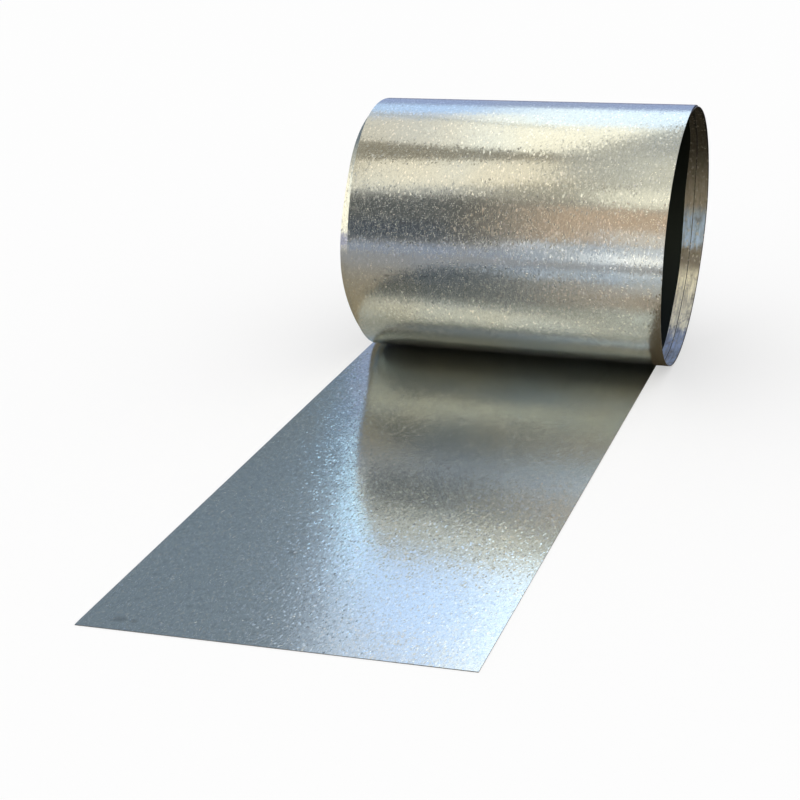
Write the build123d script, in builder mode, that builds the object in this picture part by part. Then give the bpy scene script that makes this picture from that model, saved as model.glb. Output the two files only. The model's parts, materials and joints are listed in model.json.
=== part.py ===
"""Roll of thin galvanised steel strip, lying on its side with its outer end rolled out flat.

Millimetres. +X runs along the coil's axis, the flat tail runs towards -Y and +Z is up. The origin is on
the floor, under the coil's axis and at the middle of the tail's width.
"""

import os

from build123d import *

# Strip
strip_width = 254.0
sheet_thickness = 0.5

# Coil, lying on the floor with its axis level
coil_diameter = 211.0
turn_count = 4
turn_gap = 1.0
turn_bite = 18.0

# The turns have slipped along the axis: the outer turn to the right of the tail, and each turn inside it
# a little further back to the left, by a step that grows towards the bore
coil_shift = 22.5
first_slip = 3.0
slip_growth = 0.8

# Flat tail, rolled out on the floor, with its free end cut a little off square
tail_length = 495.0
tail_skew = 1.3
end_cut = 20.0

coil_radius = coil_diameter / 2
turn_pitch = sheet_thickness + turn_gap


def turn_middle(turn):
    """Place along the axis of the middle of a turn, counted from the outside in."""
    return coil_shift - turn * first_slip - turn * (turn - 1) * slip_growth


def turn_radius(turn):
    """Outer radius of a turn, counted from the outside in."""
    return coil_radius - turn * turn_pitch


def neighbour_overlap(turn):
    """Left and right ends of the length that a turn shares with the next one inside it."""
    left = max(turn_middle(turn), turn_middle(turn + 1)) - strip_width / 2
    right = min(turn_middle(turn), turn_middle(turn + 1)) + strip_width / 2
    return left, right


with BuildPart() as steel_strip:
    # Half section of the coil above its axis: one thin bar for each turn, stepped at both ends, and
    # between two turns the gap closes at a short way in from their ends
    with BuildSketch(Plane.XZ) as turns_section:
        for turn in range(turn_count):
            with Locations((turn_middle(turn), coil_radius + turn_radius(turn))):
                Rectangle(strip_width, sheet_thickness, align=(Align.CENTER, Align.MAX))
        for turn in range(turn_count - 1):
            left, right = neighbour_overlap(turn)
            bound_length = right - left - 2 * turn_bite
            with Locations(((left + right) / 2, coil_radius + turn_radius(turn) - sheet_thickness)):
                Rectangle(bound_length, turn_gap, align=(Align.CENTER, Align.MAX))
    revolve(axis=Axis((0, 0, coil_radius), (1, 0, 0)))

    # Tail, from the line where the outer turn meets the floor to the cut end
    with BuildSketch(Plane.XY.rotated((0, 0, -tail_skew))) as tail_outline:
        with BuildLine():
            Polyline(
                (-strip_width / 2, 0),
                (-strip_width / 2, -tail_length - end_cut / 2),
                (strip_width / 2, -tail_length + end_cut / 2),
                (strip_width / 2, 0),
                close=True,
            )
        make_face()
    extrude(amount=sheet_thickness)

steel_strip.part.label = "steel_strip"
os.makedirs("parts", exist_ok=True)
export_step(steel_strip.part, "parts/steel_strip.step")
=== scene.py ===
"""Looks of a roll of thin galvanised steel strip, lying on its side with its outer end rolled out flat.

Metres. +X runs along the coil's axis, the flat tail runs towards -Y and +Z is up, as in the fixed frame.
The strip is one sheet: it is drawn out row by row along the floor and round its turns, cut, and given its
thickness.
"""

import json
import logging
import math
from collections.abc import Callable
from dataclasses import dataclass, field, replace
from enum import Enum

import bmesh
import bpy
from mathutils import Matrix, Vector

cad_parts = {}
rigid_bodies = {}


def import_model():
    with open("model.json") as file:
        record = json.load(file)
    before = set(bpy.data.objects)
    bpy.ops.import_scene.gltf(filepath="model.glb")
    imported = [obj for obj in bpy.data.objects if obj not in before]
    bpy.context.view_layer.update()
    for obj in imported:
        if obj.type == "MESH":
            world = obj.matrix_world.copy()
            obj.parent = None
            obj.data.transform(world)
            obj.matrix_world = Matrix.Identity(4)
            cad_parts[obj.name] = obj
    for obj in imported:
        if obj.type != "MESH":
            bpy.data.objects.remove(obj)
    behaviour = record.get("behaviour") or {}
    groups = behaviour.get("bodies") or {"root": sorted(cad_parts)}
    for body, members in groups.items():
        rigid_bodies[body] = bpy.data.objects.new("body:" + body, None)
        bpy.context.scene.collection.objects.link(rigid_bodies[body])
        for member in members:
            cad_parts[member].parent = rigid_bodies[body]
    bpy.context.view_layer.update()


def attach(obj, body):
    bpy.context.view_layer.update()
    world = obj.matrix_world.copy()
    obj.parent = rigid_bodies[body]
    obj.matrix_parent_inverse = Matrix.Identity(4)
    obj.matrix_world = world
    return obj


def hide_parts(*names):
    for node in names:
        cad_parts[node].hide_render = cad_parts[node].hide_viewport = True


logging.basicConfig(level=logging.INFO, format="%(message)s")
log = logging.getLogger("steel_coil")

MM = 0.001
BODY = "root"
CAD_NODE = "steel_strip"
STRIP_MAP = "strip"
Colour = tuple[float, float, float, float]

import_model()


class Surface(Enum):
    """Kinds of face on the strip, each the number of its material slot."""

    SHEET = 0
    SLIT_EDGE = 1
    INSIDE = 2


class Sock:
    """A node socket that takes part in Python expressions, adding nodes to its tree.

    Args:
        nodes: The nodes of the tree that the socket is in.
        socket: The output socket.
    """

    def __init__(self, nodes: "Nodes", socket: bpy.types.NodeSocket) -> None:
        """Keeps the nodes and the socket."""
        self.nodes = nodes
        self.socket = socket

    def math(self, operation: str, *others: object) -> "Sock":
        """Adds a Math node.

        Args:
            operation: The node's operation.
            others: The values or sockets of its other inputs.

        Returns:
            The result.
        """
        return self.nodes.out("Math", 0, {"operation": operation}, dict(enumerate((self, *others))))

    def __add__(self, other: object) -> "Sock":
        """Sum."""
        return self.math("ADD", other)

    def __radd__(self, other: object) -> "Sock":
        """Sum, reflected."""
        return self.math("ADD", other)

    def __sub__(self, other: object) -> "Sock":
        """Difference."""
        return self.math("SUBTRACT", other)

    def __rsub__(self, other: object) -> "Sock":
        """Difference, reflected."""
        return self.math("MULTIPLY", -1.0) + other

    def __mul__(self, other: object) -> "Sock":
        """Product."""
        return self.math("MULTIPLY", other)

    def __truediv__(self, other: object) -> "Sock":
        """Quotient."""
        return self.math("DIVIDE", other)

    def rise(self, start: float, width: float) -> "Sock":
        """Soft step from 0 to 1.

        Args:
            start: Value at which the step begins.
            width: Length of the step.

        Returns:
            0 below the step, 1 above it and an even S between them.
        """
        ends = {"Value": self, "From Min": start, "From Max": start + width}
        return self.nodes.out("MapRange", 0, {"interpolation_type": "SMOOTHSTEP"}, ends)


class Nodes:
    """Adds nodes to one tree.

    Args:
        tree: The node tree, which is emptied first.
    """

    def __init__(self, tree: bpy.types.NodeTree) -> None:
        """Empties the tree."""
        self.tree = tree
        tree.nodes.clear()

    def add(self, kind: str, settings: dict | None = None, inputs: dict | None = None) -> bpy.types.Node:
        """Adds one node.

        Args:
            kind: The node's type, without its ShaderNode prefix.
            settings: Attributes to set first.
            inputs: Values or links of its sockets, by name or number.

        Returns:
            The node.
        """
        node = self.tree.nodes.new("ShaderNode" + kind)
        for name, value in (settings or {}).items():
            setattr(node, name, value)
        for name, value in (inputs or {}).items():
            if isinstance(value, Sock):
                self.tree.links.new(value.socket, node.inputs[name])
            else:
                node.inputs[name].default_value = value
        return node

    def out(
        self, kind: str, output: object, settings: dict | None = None, inputs: dict | None = None
    ) -> Sock:
        """Adds one node and returns one of its outputs.

        Args:
            kind: The node's type, without its ShaderNode prefix.
            output: The output's name or number.
            settings: Attributes to set first.
            inputs: Values or links of its sockets.

        Returns:
            The output.
        """
        return Sock(self, self.add(kind, settings, inputs).outputs[output])

    def mix(self, factor: object, low: object, high: object) -> Sock:
        """Mixes two colours.

        Args:
            factor: Share of the second colour.
            low: Colour at 0.
            high: Colour at 1.

        Returns:
            The mixed colour.
        """
        return self.out("Mix", 2, {"data_type": "RGBA"}, {0: factor, 6: low, 7: high})

    def split(self, vector: Sock) -> tuple[Sock, Sock, Sock]:
        """Splits a vector into its three numbers."""
        node = self.add("SeparateXYZ", inputs={0: vector})
        return tuple(Sock(self, node.outputs[i]) for i in range(3))

    def join(self, x: object, y: object, z: object = 0.0) -> Sock:
        """Joins three numbers into a vector."""
        return self.out("CombineXYZ", 0, inputs={0: x, 1: y, 2: z})

    def noise(self, vector: Sock, scale: float, detail: float = 2.0, rough: float = 0.5) -> Sock:
        """Noise from 0 to 1, at so many waves a metre.

        Args:
            vector: Coordinates to read.
            scale: Waves in a metre of the coordinates.
            detail: Octaves.
            rough: Strength of the finer octaves.

        Returns:
            The noise.
        """
        inputs = {"Vector": vector, "Scale": scale, "Detail": detail, "Roughness": rough}
        return self.out("TexNoise", 0, inputs=inputs)


def rgb(red: float, green: float, blue: float) -> Colour:
    """A colour as a node takes it, from its sRGB values between 0 and 255."""

    def linear(value: float) -> float:
        """One channel in linear light."""
        share = value / 255
        return share / 12.92 if share <= 0.04045 else ((share + 0.055) / 1.055) ** 2.4

    return linear(red), linear(green), linear(blue), 1.0


def deselect_all() -> None:
    """Deselects every object."""
    for thing in bpy.context.view_layer.objects:
        thing.select_set(False)
    bpy.context.view_layer.objects.active = None


def apply_modifiers(piece: bpy.types.Object) -> None:
    """Applies a piece's modifiers in order."""
    bpy.context.view_layer.objects.active = piece
    for name in [modifier.name for modifier in piece.modifiers]:
        bpy.ops.object.modifier_apply(modifier=name)


@dataclass(frozen=True)
class Mark:
    """A small dark spot on the sheet, at a place in the frame.

    Its size is its reach along each axis, and its depth the share of the dark colour at its middle.
    """

    place: tuple[float, float, float]
    size: tuple[float, float, float]
    depth: float


@dataclass(frozen=True)
class ReflectionBand:
    """A painted reflection: a tint of the sheet below a height in the frame, with the height over which it
    fades in.
    """

    top: float
    soft: float
    colour: Colour


@dataclass(frozen=True)
class GalvanisedFinish:
    """Hot-dip zinc on thin strip: fine bright spangle over a soft mirror, with a faint cloudy bloom.

    The sheet is paler and bluer from its free end to end_reflection_length, a painted reflection, and fades
    to its usual tint over end_reflection_fade. It is darker from deep_from on, a painted shade. Those lengths
    run along the strip. Noise is given in waves a metre, and the painted reflection bands waver up and down
    by as much as band_waver.
    """

    name: str = "galvanised_sheet"
    warm: Colour = (0.745, 0.75, 0.70, 1.0)
    cool: Colour = (0.69, 0.735, 0.75, 1.0)
    # painted reflection: the paler, bluer tint near the free end
    pale: Colour = (0.81, 0.88, 0.93, 1.0)
    pit: Colour = (0.38, 0.39, 0.39, 1.0)
    sparkle: Colour = (1.0, 0.99, 0.96, 1.0)
    # painted shade: near black for the turns deep in the bore
    deep: Colour = (0.016, 0.02, 0.018, 1.0)
    # darker in random streaks and blotches, on the faces inside the bore
    streak_dark: Colour = (0.16, 0.15, 0.12, 1.0)
    # painted shadow: the dark line where the next turn steps in, at the right edge inside
    edge_shade: Colour = (0.06, 0.06, 0.055, 1.0)
    roughness: float = 0.15
    haze: float = 0.025
    haze_roughness: float = 0.5
    uneven: float = 0.05
    relief: float = 0.02 * MM
    mottle_relief: float = 0.8
    cloud_relief: float = 12.0
    pit_share: float = 0.2
    mottle_share: float = 0.15
    grain_waves: float = 720.0
    mottle_waves: float = 330.0
    cloud_waves: float = 16.0
    tint_waves: float = 9.0
    blotch_waves: float = 170.0
    crystal: float = 1.1 * MM
    crystal_length: float = 1.6
    crystal_tilt: float = 0.055
    sparkle_from: float = 0.93
    sparkle_share: float = 0.6
    end_reflection_length: float = 100 * MM
    end_reflection_fade: float = 360 * MM
    deep_from: float = 100.0
    bore_shade_fade: float = 20 * MM
    edge_line: float = 252.2 * MM
    edge_fade: float = 0.6 * MM
    band_waver: float = 12 * MM
    bands: tuple[ReflectionBand, ...] = ()
    marks: tuple[Mark, ...] = (
        Mark((-0.0745, -0.1049, 0.0946), (0.0034, 0.004, 0.0014), 0.9),
        Mark((-0.1140, -0.4892, 0.0005), (0.007, 0.004, 0.01), 0.45),
        Mark((-0.1043, -0.4891, 0.0005), (0.004, 0.003, 0.01), 0.35),
        Mark((-0.0430, -0.3866, 0.0005), (0.005, 0.004, 0.01), 0.25),
    )

    def make(self) -> bpy.types.Material:
        """Makes the material.

        Returns:
            The material.
        """
        material = bpy.data.materials.new(self.name)
        material.use_nodes = True
        nodes = Nodes(material.node_tree)
        run = nodes.out("UVMap", 0, {"uv_map": STRIP_MAP})
        place = nodes.out("TexCoord", "Object")
        across, along, _ = nodes.split(run)

        grain = nodes.noise(nodes.join(across, along * 0.4), self.grain_waves, 2.0, 0.6)
        mottle = nodes.noise(nodes.join(across, along * 0.7, 3.0), self.mottle_waves, 3.0, 0.6)
        cloud = nodes.noise(nodes.join(across, along, 7.0), self.cloud_waves, 3.0, 0.55)
        tint = nodes.noise(nodes.join(across, along, 11.0), self.tint_waves, 2.0)
        bright, tilt = self._crystals(nodes, across, along)

        base = nodes.mix(tint.rise(0.35, 0.3), self.warm, self.cool)
        # painted reflection: paler and bluer near the free end
        base = nodes.mix(1.0 - along.rise(self.end_reflection_length, self.end_reflection_fade), base, self.pale)
        # painted reflections in level bands, on the faces inside the bore
        if self.bands:
            base = self._paint_reflection_bands(nodes, base, place, across, along)
        pits = (1.0 - grain.rise(0.3, 0.2)) * self.pit_share
        pits = pits + (1.0 - mottle.rise(0.3, 0.25)) * self.mottle_share
        base = nodes.mix(pits, base, self.pit)
        base = nodes.mix(bright, base, self.sparkle)
        # painted shade: near black for the turns deep in the bore
        base = nodes.mix(along.rise(self.deep_from, self.bore_shade_fade), base, self.deep)
        for mark in self.marks:
            base = nodes.mix(self._spot(nodes, place, mark), base, self.pit)

        rough = self.roughness + (cloud + mottle - 1.0) * self.uneven
        height = (grain + mottle * self.mottle_relief + cloud * self.cloud_relief) * self.relief + tilt
        bump = nodes.out("Bump", 0, None, {"Strength": 1.0, "Distance": 1.0, "Height": height})
        zinc = {"Base Color": base, "Metallic": 1.0, "Normal": bump}
        clear = nodes.out("BsdfPrincipled", 0, None, zinc | {"Roughness": rough})
        dull = nodes.out("BsdfPrincipled", 0, None, zinc | {"Roughness": self.haze_roughness})
        surface = nodes.out("MixShader", 0, None, {0: self.haze, 1: clear, 2: dull})
        nodes.add("OutputMaterial", inputs={"Surface": surface})
        return material

    def _paint_reflection_bands(self, nodes: Nodes, base: Sock, place: Sock, across: Sock, along: Sock) -> Sock:
        """Paints reflections as level bands, darker in random streaks along the strip, with a painted shadow
        line at its right edge.

        Args:
            nodes: The material's nodes.
            base: Colour to start from.
            place: Object coordinates.
            across: Metres across the strip.
            along: Metres along the strip.

        Returns:
            The tinted colour.
        """
        _, _, up = nodes.split(place)
        streak = nodes.noise(nodes.join(across, along * 0.12, 5.0), self.mottle_waves, 3.0, 0.6)
        blotch = nodes.noise(nodes.join(across, along * 0.6, 9.0), self.blotch_waves, 4.0, 0.65)
        height = up + (streak + blotch - 1.0) * self.band_waver
        # painted reflections: one tint for each height band
        for band in self.bands:
            base = nodes.mix(1.0 - height.rise(band.top, band.soft), base, band.colour)
        # darker in random streaks and blotches
        dull = (1.0 - streak.rise(0.3, 0.35)) * 0.5 + (1.0 - blotch.rise(0.32, 0.2)) * 0.4
        base = nodes.mix(dull, base, self.streak_dark)
        # painted shadow line along the right edge, where the next turn steps in
        return nodes.mix(across.rise(self.edge_line, self.edge_fade), base, self.edge_shade)

    def _crystals(self, nodes: Nodes, across: Sock, along: Sock) -> tuple[Sock, Sock]:
        """Small zinc crystals, most of them flat and a few of them tilted.

        Args:
            nodes: The material's nodes.
            across: Metres across the strip.
            along: Metres along the strip.

        Returns:
            Brightness of the few brightest crystals, and the height of their tilted faces in metres.
        """
        grid = nodes.join(across / self.crystal, along / (self.crystal_length * self.crystal))
        cells = nodes.add("TexVoronoi", {"feature": "F1"}, {"Vector": grid, "Scale": 1.0})
        middle = Sock(nodes, cells.outputs["Position"])
        local = nodes.out("VectorMath", 0, {"operation": "SUBTRACT"}, {0: grid, 1: middle})
        near_x, near_y, _ = nodes.split(local)
        red, green, blue = nodes.split(Sock(nodes, cells.outputs["Color"]))
        lean_x, lean_y = red * 2.0 - 1.0, green * 2.0 - 1.0
        lean_x, lean_y = lean_x * lean_x.math("POWER", 4.0), lean_y * lean_y.math("POWER", 4.0)
        tilt = lean_x * near_x + lean_y * near_y * self.crystal_length
        bright = blue.rise(self.sparkle_from, 0.04) * self.sparkle_share
        return bright, tilt * (self.crystal_tilt * self.crystal)

    @staticmethod
    def _spot(nodes: Nodes, place: Sock, mark: Mark) -> Sock:
        """Mask of one mark.

        Args:
            nodes: The material's nodes.
            place: Object coordinates.
            mark: The mark.

        Returns:
            The mark's depth at its middle, falling to 0 at its edge.
        """
        away = nodes.out("VectorMath", 0, {"operation": "SUBTRACT"}, {0: place, 1: mark.place})
        away = nodes.out("VectorMath", 0, {"operation": "DIVIDE"}, {0: away, 1: mark.size})
        length = nodes.out("VectorMath", "Value", {"operation": "LENGTH"}, {0: away})
        return (1.0 - length.rise(0.3, 0.7)) * mark.depth


@dataclass(frozen=True)
class SlitEdgeFinish:
    """Bare steel where the strip was slit and cut: greyer and duller than the zinc."""

    colour: Colour = (0.24, 0.24, 0.23, 1.0)
    burr_colour: Colour = (0.42, 0.42, 0.40, 1.0)
    burr_waves: float = 700.0
    roughness: float = 0.4

    def make(self) -> bpy.types.Material:
        """Makes the material.

        Returns:
            The material.
        """
        material = bpy.data.materials.new("slit_edge")
        material.use_nodes = True
        nodes = Nodes(material.node_tree)
        place = nodes.out("TexCoord", "Object")
        burr = nodes.noise(place, self.burr_waves)
        base = nodes.mix(burr.rise(0.3, 0.4), self.colour, self.burr_colour)
        steel = {"Base Color": base, "Metallic": 1.0, "Roughness": self.roughness + burr * 0.15}
        nodes.add("OutputMaterial", inputs={"Surface": nodes.out("BsdfPrincipled", 0, None, steel)})
        return material


def bore_zinc_with_painted_light() -> GalvanisedFinish:
    """The rougher zinc that looks into the bore, with painted shade and painted reflections in level bands.
    """
    return GalvanisedFinish(
        name="galvanised_inside",
        # painted shade: a dark base for the zinc inside the bore
        warm=(0.11, 0.10, 0.08, 1.0),
        cool=(0.12, 0.11, 0.095, 1.0),
        sparkle=(0.5, 0.48, 0.42, 1.0),
        roughness=0.6,
        # painted reflections, by height in the frame
        bands=(
            ReflectionBand(115 * MM, 45 * MM, (0.41, 0.38, 0.32, 1.0)),
            ReflectionBand(90 * MM, 14 * MM, (0.45, 0.60, 0.80, 1.0)),
            ReflectionBand(62 * MM, 10 * MM, (0.27, 0.25, 0.20, 1.0)),
            ReflectionBand(43 * MM, 12 * MM, (1.0, 0.97, 0.76, 1.0)),
            ReflectionBand(7 * MM, 6 * MM, (0.47, 0.57, 0.72, 1.0)),
        ),
        marks=(),
    )


@dataclass
class GalvanisedStrip:
    """The strip: a flat tail on the floor and four loose turns that have slipped along the axis.

    Angles wound count from the line where the tail lifts off the floor. The outer turn runs over by
    outer_middle and leans by lean below its axis and by lean_high above it, which comes in over settle. The
    strip is narrower by left_taper where it lifts off, and wider by left_swell on top. The turns inside the
    outer one slip back to the left by slip_round, which goes once round the coil in equal steps, and each
    turn takes its own share of that. The margin is the strip's left border, which is bent from bend_from on.
    The faces that look into the bore are rougher, with painted reflections and shade, from inside_from on,
    and painted near black from deep_from on. The free end stays inside the part's box by inset.
    """

    width: float = 254 * MM
    thickness: float = 0.5 * MM
    coil_diameter: float = 211 * MM
    bore_radius: float = 100.5 * MM
    tail_length: float = 495 * MM
    tail_skew: float = math.radians(1.3)
    end_cut: float = 20 * MM
    inset: float = 0.01 * MM
    turns: int = 4
    outer_middle: float = 19.2 * MM
    lean: float = 5.4 * MM
    lean_high: float = 3.4 * MM
    left_taper: float = 3.5 * MM
    taper_kept: float = 0.4
    left_swell: float = 7 * MM
    settle: float = math.radians(200)
    slip_round: tuple[float, ...] = tuple(slip * MM for slip in (14, 16.5, 19.3, 13.5, 3, 5.5, 7.7, 3))
    turn_shares: tuple[float, ...] = (0.0, 0.58, 1.0, 1.06)
    slip_start: float = math.radians(505)
    slip_length: float = math.radians(115)
    margin: float = 12 * MM
    margin_bend: float = 1.6 * MM
    bend_from: float = math.radians(396)
    inside_from: float = math.radians(288)
    deep_from: float = math.radians(865)
    columns: int = 12
    tail_rows: int = 26
    rows_a_turn: int = 112
    finish: GalvanisedFinish = field(default_factory=GalvanisedFinish)
    edge_finish: SlitEdgeFinish = field(default_factory=SlitEdgeFinish)
    inside_finish_and_painted_light: GalvanisedFinish = field(default_factory=bore_zinc_with_painted_light)

    def build(self) -> bpy.types.Object:
        """Draws out the sheet, cuts its free end, gives it its thickness and dresses it.

        Returns:
            The finished piece.
        """
        rows = self._row_middles()
        sheet = self._draw_out(rows)
        self._map_strip(sheet, rows)
        self._bend_margin(sheet)
        self._cut_free_end(sheet)
        self._thicken(sheet)
        return sheet

    def _middle(self, turned: float) -> float:
        """Place along the axis of the strip's middle.

        The outer turn runs over from the tail and leans a little. Each turn inside it has slipped back to the
        left, further on the far side of the coil than on the near one, and it does so as it passes the top.

        Args:
            turned: Angle wound since the tail left the floor, in radians.

        Returns:
            The place.
        """
        cosine = math.cos(turned)
        middle = self.outer_middle - cosine * (self.lean if cosine > 0 else self.lean_high)
        middle *= self._ease(turned / self.settle)
        middle -= self._swell(turned) / 2
        share = 0.0
        for turn in range(1, self.turns):
            passed = (turned - self.slip_start - (turn - 1) * math.tau) / self.slip_length
            share += self._ease(passed) * (self.turn_shares[turn] - self.turn_shares[turn - 1])
        knots = len(self.slip_round)
        knot, between = divmod(turned / math.tau * knots, 1.0)
        slip = self.slip_round[int(knot) % knots]
        slip += (self.slip_round[int(knot + 1) % knots] - slip) * self._ease(between)
        return middle - share * slip

    @staticmethod
    def _ease(value: float) -> float:
        """Even S from 0 to 1 between 0 and 1."""
        held = min(1.0, max(0.0, value))
        return held * held * (3 - 2 * held)

    def _swell(self, turned: float) -> float:
        """Extra width at the left after an angle wound, in radians.

        It is less where the tail lifts off, and more where the loose turns fan out on top.

        Args:
            turned: Angle wound.

        Returns:
            The extra width, below zero where the strip is narrower.
        """
        wound = self._ease(turned / self.settle)
        swell = self.left_swell * max(0.0, -math.cos(turned)) ** 3 * wound
        return swell - self.left_taper * (1 - wound * (1 - self.taper_kept))

    def _length_to(self, turned: float) -> float:
        """About how far along the strip's map an angle wound lies, from radians to metres."""
        return self.tail_length + self.end_cut + self.coil_diameter / 2 * turned

    def _radius(self, turned: float) -> float:
        """Radius of the sheet's middle after an angle wound, in radians."""
        outer = (self.coil_diameter - self.thickness) / 2
        inner = self.bore_radius + self.thickness / 2
        return outer - (outer - inner) * turned / (math.tau * self.turns)

    def _row_middles(self) -> list[Vector]:
        """Middles of the rows of points across the strip, from the free end to the inner end.

        Returns:
            The middles.
        """
        middles = []
        far = self.tail_length + self.end_cut
        for i in range(self.tail_rows):
            y = -far * (1 - i / self.tail_rows)
            inward = self.inset + self.left_taper / 2 * i / self.tail_rows
            middles.append(Vector((y * math.tan(self.tail_skew) + inward, y, self.thickness / 2)))
        for i in range(self.turns * self.rows_a_turn + 1):
            turned = math.tau * i / self.rows_a_turn
            radius = self._radius(turned)
            y = radius * math.sin(turned)
            z = self.coil_diameter / 2 - radius * math.cos(turned)
            middles.append(Vector((self._middle(turned), y, z)))
        return middles

    def _row_widths(self) -> list[float]:
        """Widths of the rows, in the same order."""
        flat = [self.width - self.left_taper * i / self.tail_rows for i in range(self.tail_rows)]
        steps = range(self.turns * self.rows_a_turn + 1)
        return flat + [self.width + self._swell(math.tau * i / self.rows_a_turn) for i in steps]

    def _draw_out(self, rows: list[Vector]) -> bpy.types.Object:
        """Draws the sheet out row by row from a first narrow band.

        Args:
            rows: Middles of the rows.

        Returns:
            The open sheet, its points in order along the strip.
        """
        deselect_all()
        bpy.ops.mesh.primitive_grid_add(
            x_subdivisions=self.columns, y_subdivisions=1, size=1.0, location=(0.0, 0.0, 0.0)
        )
        sheet = bpy.context.object
        sheet.name = "galvanised_strip"
        bpy.ops.object.mode_set(mode="EDIT")
        bpy.ops.mesh.select_all(action="SELECT")
        bpy.ops.transform.resize(value=(self.width, (rows[1] - rows[0]).y, 1.0))
        column = self.width / self.columns
        self._select_points(sheet, lambda co: abs(co.x - (column - self.width / 2)) < 0.1 * column)
        bpy.ops.transform.translate(value=(self.margin - column, 0.0, 0.0))
        bpy.ops.mesh.select_all(action="SELECT")
        bpy.ops.transform.translate(value=(rows[0] + rows[1]) / 2)
        self._select_points(sheet, lambda co: co.y > (rows[0] + rows[1]).y / 2)
        widths = self._row_widths()
        for i in range(2, len(rows)):
            bpy.ops.mesh.extrude_region_move(TRANSFORM_OT_translate={"value": rows[i] - rows[i - 1]})
            if abs(widths[i] - widths[i - 1]) > 1e-7:
                growth = widths[i] / widths[i - 1]
                bpy.ops.transform.resize(value=(growth, 1.0, 1.0), center_override=rows[i])
        bpy.ops.object.mode_set(mode="OBJECT")
        return sheet

    @staticmethod
    def _select_points(sheet: bpy.types.Object, wanted: Callable[[Vector], bool]) -> None:
        """Selects points by their place, and the edges between them.

        Args:
            sheet: The sheet, in edit mode.
            wanted: Tells from a point's place whether it is selected.
        """
        bpy.ops.mesh.select_all(action="DESELECT")
        mesh = bmesh.from_edit_mesh(sheet.data)
        for point in mesh.verts:
            point.select = wanted(point.co)
        mesh.select_flush(True)
        bmesh.update_edit_mesh(sheet.data)

    def _map_strip(self, sheet: bpy.types.Object, rows: list[Vector]) -> None:
        """Writes the strip's own map: metres across it and metres along it.

        Args:
            sheet: The open sheet.
            rows: Middles of the rows.
        """
        lengths = [0.0]
        for before, after in zip(rows, rows[1:]):
            lengths.append(lengths[-1] + (after - before).length)
        mesh = sheet.data
        layer = mesh.uv_layers[0]
        layer.name = STRIP_MAP
        for loop in mesh.loops:
            row = loop.vertex_index // (self.columns + 1)
            across = mesh.vertices[loop.vertex_index].co.x - rows[row].x + self.width / 2
            layer.data[loop.index].uv = (across, lengths[row])

    def _bend_margin(self, sheet: bpy.types.Object) -> None:
        """Bends the left margin of the inner turns a little towards the bore.

        Args:
            sheet: The open sheet, with its points still in order along the strip.
        """
        deselect_all()
        sheet.select_set(True)
        bpy.context.view_layer.objects.active = sheet
        first_row = self.tail_rows + round(self.rows_a_turn * self.bend_from / math.tau)
        axis = Vector((0.0, 0.0, self.coil_diameter / 2))
        bpy.ops.object.mode_set(mode="EDIT")
        bpy.ops.mesh.select_all(action="DESELECT")
        mesh = bmesh.from_edit_mesh(sheet.data)
        edge_points = list(mesh.verts)[first_row * (self.columns + 1) :: self.columns + 1]
        for point in edge_points:
            point.select = True
        mesh.select_flush(True)
        outward = edge_points[0].normal.dot(edge_points[0].co - axis) > 0
        bmesh.update_edit_mesh(sheet.data)
        bpy.ops.transform.shrink_fatten(value=-self.margin_bend if outward else self.margin_bend)
        bpy.ops.object.mode_set(mode="OBJECT")

    def _cut_free_end(self, sheet: bpy.types.Object) -> None:
        """Cuts the tail's free end, a little off square.

        Args:
            sheet: The open sheet.
        """
        bpy.context.view_layer.objects.active = sheet
        bpy.ops.object.mode_set(mode="EDIT")
        bpy.ops.mesh.select_all(action="SELECT")
        bpy.ops.mesh.remove_doubles(threshold=1e-6)
        bpy.ops.mesh.select_all(action="SELECT")
        bpy.ops.mesh.normals_make_consistent(inside=False)
        heading = Vector((-math.sin(self.tail_skew), -math.cos(self.tail_skew), 0.0))
        slant = math.atan2(self.end_cut, self.width) - self.tail_skew
        normal = Vector((-math.sin(slant), math.cos(slant), 0.0))
        place = heading * (self.tail_length - self.inset)
        bpy.ops.mesh.bisect(plane_co=place, plane_no=normal, clear_inner=True)
        bpy.ops.object.mode_set(mode="OBJECT")

    def _thicken(self, sheet: bpy.types.Object) -> None:
        """Gives the sheet its thickness, its finishes and its smooth faces.

        Args:
            sheet: The open sheet.
        """
        sheet.data.materials.append(self.finish.make())
        sheet.data.materials.append(self.edge_finish.make())
        deep_from = self._length_to(self.deep_from)
        sheet.data.materials.append(replace(self.inside_finish_and_painted_light, deep_from=deep_from).make())
        wall = sheet.modifiers.new("wall", "SOLIDIFY")
        wall.thickness = self.thickness
        wall.offset = 0.0
        wall.material_offset_rim = Surface.SLIT_EDGE.value
        apply_modifiers(sheet)
        self._dress_inside(sheet)
        sheet.select_set(True)
        bpy.ops.object.shade_smooth_by_angle(angle=math.radians(30))
        sheet.select_set(False)

    def _dress_inside(self, sheet: bpy.types.Object) -> None:
        """Gives the rougher inside zinc, with its painted shade and reflections, to the faces that look into
        the bore.

        Args:
            sheet: The thickened sheet.
        """
        axis = Vector((0.0, 0.0, self.coil_diameter / 2))
        first = self._length_to(self.inside_from)
        run = sheet.data.uv_layers[STRIP_MAP].data
        for face in sheet.data.polygons:
            out = Vector((0.0, face.center.y, face.center.z)) - axis
            inner = out.dot(face.normal) < 0 and run[face.loop_start].uv.y > first
            if inner and face.material_index == Surface.SHEET.value:
                face.material_index = Surface.INSIDE.value


@dataclass(frozen=True)
class Board:
    """One soft-edged board on the inside of the tent.

    Places are along the axis in metres and round it in degrees from the front horizon, over the top, to the
    back. The two long edges may slope, by so many degrees a metre, and their heights are those at the middle.
    Its colour is multiplied by its level, and it fades over so many metres along and degrees round.
    """

    name: str
    left: float
    right: float
    low: float
    high: float
    colour: Colour
    level: float = 1.0
    slope: float = 0.0
    slope_high: float | None = None
    soft: tuple[float, float] = (0.1, 8.0)


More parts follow.
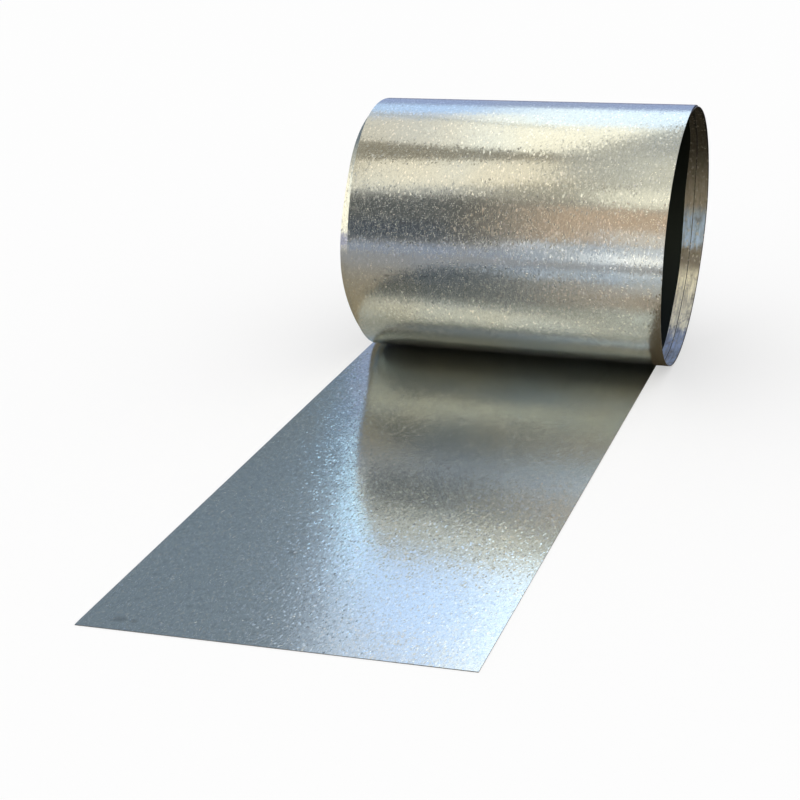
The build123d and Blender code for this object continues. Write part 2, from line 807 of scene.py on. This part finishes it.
@dataclass
class Tent:
    """A glowing drum round the coil's axis, open at both ends, that only the steel mirrors: painted
    reflections.
    """

    radius: float = 0.8
    length: float = 7.0
    axis_height: float = 105.5 * MM
    low_glow_colour: Colour = rgb(176, 180, 190)
    high_glow_colour: Colour = rgb(205, 203, 192)
    boards: tuple[Board, ...] = (
        Board("left_back", -3.5, -0.46, 90, 175, rgb(119, 130, 137), soft=(0.1, 24)),
        Board("left_light", -3.5, -0.57, -60, 66, rgb(252, 246, 226), 1.7, soft=(0.1, 24)),
        Board("left_gap", -3.5, -0.57, -12, 6, rgb(170, 172, 205)),
        Board("right_sky", 0.3, 3.5, 55, 150, rgb(186, 198, 240), 2.2, soft=(0.24, 30)),
        Board("right_front", 0.36, 3.5, -90, 55, rgb(244, 232, 206), 5.6, soft=(0.26, 30)),
        Board("back_light", -0.44, 0.25, 120, 152, rgb(196, 222, 255), 1.2, soft=(0.16, 8)),
        Board("roof_light", -0.42, -0.02, 88, 124, rgb(242, 234, 216), soft=(0.08, 6)),
        Board("roof_edge", -0.42, -0.1, 122, 132, rgb(222, 227, 236), soft=(0.08, 5)),
        Board("roof_glare", -0.25, 0.03, 84, 134, rgb(255, 250, 230), 1.42, soft=(0.14, 8)),
        Board("back_glare", -0.2, 0.25, 118, 148, rgb(232, 246, 255), 1.5, soft=(0.16, 10)),
        Board("roof_wire", -0.42, -0.12, 104.4, 106.4, rgb(180, 182, 168), slope=-60, soft=(0.1, 1.4)),
        Board("roof_end", -0.113, 0.22, 40, 113, rgb(190, 189, 179), slope_high=240, soft=(0.03, 10)),
        Board("roof_right", -0.03, 0.22, 36, 84, rgb(236, 234, 219), 0.92, soft=(0.07, 16)),
        Board("end_shade", -0.17, -0.07, 34, 60, rgb(168, 163, 147), soft=(0.06, 14)),
        Board("roof_beam", -0.41, -0.11, 55, 79.8, rgb(149, 141, 123), slope_high=-30, soft=(0.03, 3)),
        Board(
            "roof_window", -0.385, -0.117, 62.8, 80.8, rgb(250, 240, 216), 1.2,
            slope=50, slope_high=27, soft=(0.03, 3),
        ),
        Board("front_wall", -0.5, 0.3, -12, 43, rgb(152, 147, 138), soft=(0.1, 10)),
        Board("dark_wall", -0.5, -0.19, 3, 47, rgb(92, 94, 93), slope_high=22, soft=(0.07, 9)),
        Board("dark_core", -0.5, -0.24, 5, 20, rgb(74, 81, 90)),
        Board("copper_wall", -0.13, 0.3, 9, 37, rgb(206, 182, 158), soft=(0.09, 8)),
        Board("far_glow", -0.06, 0.3, 39, 53, rgb(250, 247, 228), 1.15, soft=(0.05, 8)),
        Board("far_wall", -0.04, 0.3, 7, 20, rgb(230, 225, 218), soft=(0.06, 8)),
        Board("low_band", -0.5, 0.3, -14, 1, rgb(156, 164, 180), soft=(0.1, 5)),
        Board("low_glow", -0.14, 0.3, -9, 8, rgb(190, 198, 206), soft=(0.12, 6)),
        Board("far_low", -0.04, 0.3, -12, 7, rgb(224, 232, 242), soft=(0.05, 6)),
        Board("low_window", -0.06, 0.04, -6, 0, rgb(255, 255, 252), 1.5, soft=(0.06, 3)),
        Board("far_window", -0.16, -0.12, 2, 7, rgb(240, 244, 255), 1.2, soft=(0.03, 3)),
        Board("back_shade", -0.5, -0.46, 148, 164, rgb(106, 130, 150), soft=(0.04, 8)),
        Board("back_sky", -0.46, 3.5, 151, 174, rgb(162, 178, 216), soft=(0.06, 8)),
        Board("slit_light", -0.458, -0.432, 142, 153, rgb(196, 236, 255), 2.1, soft=(0.01, 4)),
        Board("back_sill", -3.5, 3.5, 175, 210, rgb(70, 84, 132), soft=(0.06, 4)),
    )

    def build(self) -> bpy.types.Object:
        """Makes the drum and hides it from all but glossy rays.

        Returns:
            The drum.
        """
        deselect_all()
        bpy.ops.mesh.primitive_cylinder_add(
            vertices=96,
            radius=self.radius,
            depth=self.length,
            end_fill_type="NOTHING",
            location=(0.0, 0.0, self.axis_height),
            rotation=(0.0, math.pi / 2, 0.0),
        )
        drum = bpy.context.object
        drum.name = "tent"
        bpy.ops.object.transform_apply(location=False, rotation=True, scale=False)
        drum.data.materials.append(self._card())
        drum.visible_camera = False
        drum.visible_diffuse = False
        drum.visible_shadow = False
        drum.visible_transmission = False
        return drum

    def _card(self) -> bpy.types.Material:
        """Makes the drum's material, with its boards painted on in order.

        Returns:
            The material.
        """
        material = bpy.data.materials.new("tent_card")
        material.use_nodes = True
        nodes = Nodes(material.node_tree)
        along, deep, up = nodes.split(nodes.out("TexCoord", "Object"))
        turned = up.math("ARCTAN2", deep * -1.0) * (180 / math.pi)
        turned = turned + turned.math("LESS_THAN", -90.0) * 360.0
        colour = nodes.mix(turned.rise(-10, 60), self.low_glow_colour, self.high_glow_colour)
        for board in self.boards:
            fade_along, fade_round = board.soft
            low = turned - along * board.slope
            high = low if board.slope_high is None else turned - along * board.slope_high
            mask = low.rise(board.low - fade_round / 2, fade_round)
            mask = mask * (1.0 - high.rise(board.high - fade_round / 2, fade_round))
            mask = mask * along.rise(board.left - fade_along / 2, fade_along)
            mask = mask * (1.0 - along.rise(board.right - fade_along / 2, fade_along))
            lit = tuple(channel * board.level for channel in board.colour[:3]) + (1.0,)
            colour = nodes.mix(mask, colour, lit)
        glow = nodes.out("Emission", 0, None, {"Color": colour, "Strength": 1.0})
        nodes.add("OutputMaterial", inputs={"Surface": glow})
        return material


@dataclass
class Mats:
    """Mats on the floor round the strip, which only the steel mirrors.

    They are grey in front and take the near colour from near_from back. They are brown to the right of
    brown_from, and pale to the left of left_edge and, right of far_left, in front of far_front.
    """

    size: float = 8.0
    height: float = -0.05 * MM
    near_from: float = -0.45
    brown_from: float = 0.05
    left_edge: float = -0.46
    far_left: float = -0.34
    far_front: float = -1.4
    grey: Colour = rgb(160, 160, 162)
    brown: Colour = rgb(96, 84, 64)
    near: Colour = rgb(160, 148, 124)
    left_light: Colour = rgb(252, 246, 226)
    far_light: Colour = rgb(252, 254, 252)

    def build(self) -> bpy.types.Object:
        """Lays the mats.

        Returns:
            The mats.
        """
        deselect_all()
        bpy.ops.mesh.primitive_plane_add(size=self.size, location=(0.0, 0.0, self.height))
        mats = bpy.context.object
        mats.name = "mats"
        mats.data.materials.append(self._felt())
        mats.visible_camera = False
        mats.visible_diffuse = False
        mats.visible_shadow = False
        mats.visible_transmission = False
        return mats

    def _felt(self) -> bpy.types.Material:
        """Makes the mats' material.

        Returns:
            The material.
        """
        material = bpy.data.materials.new("mat_felt")
        material.use_nodes = True
        nodes = Nodes(material.node_tree)
        across, deep, _ = nodes.split(nodes.out("TexCoord", "Object"))
        colour = nodes.mix(deep.rise(self.near_from, 0.35), self.grey, self.near)
        colour = nodes.mix(across.rise(self.brown_from, 0.06), colour, self.brown)
        colour = nodes.mix(1.0 - across.rise(self.left_edge - 0.1, 0.1), colour, self.left_light)
        lit = across.rise(self.far_left, 0.15) * (1.0 - deep.rise(self.far_front, 0.25))
        colour = nodes.mix(lit, colour, self.far_light)
        nodes.add("OutputMaterial", inputs={"Surface": nodes.out("BsdfDiffuse", 0, None, {"Color": colour})})
        return material


@dataclass
class Studio:
    """Plain pale floor and plain white world.

    The floor lies floor_drop under the strip, and glows by the share floor_glow, which softens its shadow.
    """

    floor_size: float = 40.0
    floor_drop: float = 0.1 * MM
    floor_colour: Colour = (0.985, 0.985, 0.985, 1.0)
    floor_glow: float = 0.5
    world_level: float = 1.0

    def build(self) -> None:
        """Builds the floor and the world."""
        self._floor()
        self._world()

    def _floor(self) -> None:
        """Lays the floor just under the strip."""
        deselect_all()
        bpy.ops.mesh.primitive_plane_add(size=self.floor_size, location=(0.0, 0.0, -self.floor_drop))
        floor = bpy.context.object
        floor.name = "floor"
        material = bpy.data.materials.new("pale_floor")
        material.use_nodes = True
        nodes = Nodes(material.node_tree)
        paint = nodes.out("BsdfDiffuse", 0, inputs={"Color": self.floor_colour})
        glow = nodes.out("Emission", 0, inputs={"Color": self.floor_colour, "Strength": self.world_level})
        surface = nodes.out("MixShader", 0, inputs={0: self.floor_glow, 1: paint, 2: glow})
        nodes.add("OutputMaterial", inputs={"Surface": surface})
        floor.data.materials.append(material)

    def _world(self) -> None:
        """Lights the studio evenly from all round."""
        world = bpy.data.worlds.new("soft_white")
        world.use_nodes = True
        nodes = Nodes(world.node_tree)
        white = {"Color": (1.0, 1.0, 1.0, 1.0), "Strength": self.world_level}
        nodes.add("OutputWorld", inputs={"Surface": nodes.out("Background", 0, None, white)})
        bpy.context.scene.world = world


@dataclass
class PhotoCamera:
    """The camera, at the photograph's place and angle."""

    place: tuple[float, float, float] = (345.3 * MM, -1183.6 * MM, 487.8 * MM)
    yaw: float = math.radians(-21.006)
    pitch: float = math.radians(23.423)
    roll: float = math.radians(3.438)
    focal_pixels: float = 1529.19
    picture_pixels: float = 800.0
    sensor: float = 36.0

    def build(self) -> bpy.types.Object:
        """Makes the camera and sets it as the scene's.

        Returns:
            The camera.
        """
        ahead = Vector(
            (
                math.sin(self.yaw) * math.cos(self.pitch),
                math.cos(self.yaw) * math.cos(self.pitch),
                -math.sin(self.pitch),
            )
        )
        right = Vector((math.cos(self.yaw), -math.sin(self.yaw), 0.0))
        up = right.cross(ahead)
        turn = Matrix.Rotation(self.roll, 3, ahead)
        right, up = turn @ right, turn @ up
        lens = bpy.data.cameras.new("photo_camera")
        lens.sensor_width = self.sensor
        lens.lens = self.focal_pixels / self.picture_pixels * self.sensor
        lens.clip_end = 100.0
        camera = bpy.data.objects.new("photo_camera", lens)
        bpy.context.scene.collection.objects.link(camera)
        axes = Matrix((right, up, -ahead)).transposed().to_4x4()
        camera.matrix_world = Matrix.Translation(self.place) @ axes
        bpy.context.scene.camera = camera
        return camera


def main() -> None:
    """Builds the strip and the studio round it."""
    PhotoCamera().build()
    strip = GalvanisedStrip().build()
    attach(strip, BODY)
    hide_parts(CAD_NODE)
    for piece in (strip, Tent().build(), Mats().build()):
        box = [round(side, 4) for side in piece.dimensions]
        log.info("%s: %d faces, box %s", piece.name, len(piece.data.polygons), box)
    Studio().build()
    bpy.context.scene.view_settings.view_transform = "Standard"


if __name__ == "__main__":
    main()
